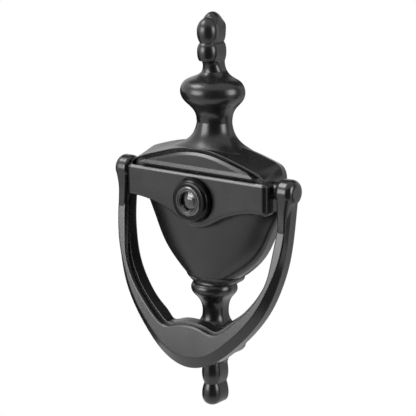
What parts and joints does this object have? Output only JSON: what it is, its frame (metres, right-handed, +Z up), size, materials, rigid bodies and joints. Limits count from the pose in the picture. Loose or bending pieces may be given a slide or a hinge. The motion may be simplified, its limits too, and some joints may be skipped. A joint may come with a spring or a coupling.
{
  "type": "door knocker with viewer",
  "caption": "Urn-shaped front door knocker with a hinged striking ring and a wide-angle door viewer through its beam, in satin black.",
  "frame": {"origin": "midway between the two fixing holes, in the plane of the door's outer face", "axes": "+Z up, +Y into the door, -Y out of the door towards a caller, +X to the caller's right"},
  "size_m": [0.1092, 0.0595, 0.2],
  "materials": {
    "satin_black_casting": "satin black powder coat on die-cast zinc",
    "satin_black_ring": "satin black powder coat on die-cast zinc",
    "gloss_black_metal": "gloss black plated and lacquered brass",
    "dark_metal": "matte black anodised",
    "lens_glass": "polished optical glass",
    "steel": "ground",
    "brass": "machined",
    "black_nylon": "moulded",
    "black_rubber": "moulded"
  },
  "bodies": {
    "casting": {"urn_body": "satin_black_casting", "pivot_pin_left": "steel", "pivot_pin_right": "steel", "pivot_washer_left": "black_nylon", "pivot_washer_right": "black_nylon", "strike_button": "black_nylon", "fixing_insert_top": "brass", "fixing_insert_bottom": "brass", "bezel_seal": "black_rubber", "viewer_bezel": "gloss_black_metal", "viewer_barrel": "gloss_black_metal", "front_lens": "lens_glass", "front_spacer": "dark_metal", "middle_lens": "lens_glass", "rear_spacer": "dark_metal", "rear_lens": "lens_glass", "lens_retainer": "dark_metal"},
    "ring": {"knocker_ring": "satin_black_ring"},
    "sleeve": {"viewer_sleeve": "gloss_black_metal", "ocular_lens": "lens_glass", "ocular_retainer": "dark_metal", "wave_washer": "steel", "flap_rivet": "steel"},
    "flap": {"privacy_flap": "gloss_black_metal"}
  },
  "joints": [
    {"name": "ring_hinge", "type": "hinge", "parent": "casting", "child": "ring", "pos_m": [0, -0.0104, 0.0173], "axis": [-1, 0, 0], "range_deg": [0, 150]},
    {"name": "sleeve_slide", "type": "slide", "parent": "casting", "child": "sleeve", "axis": [0, 1, 0], "range_m": [0, 0.02]},
    {"name": "flap_swivel", "type": "hinge", "parent": "sleeve", "child": "flap", "pos_m": [0, 0.0294, 0.0161], "axis": [0, 1, 0], "range_deg": [-110, 110]}
  ]
}
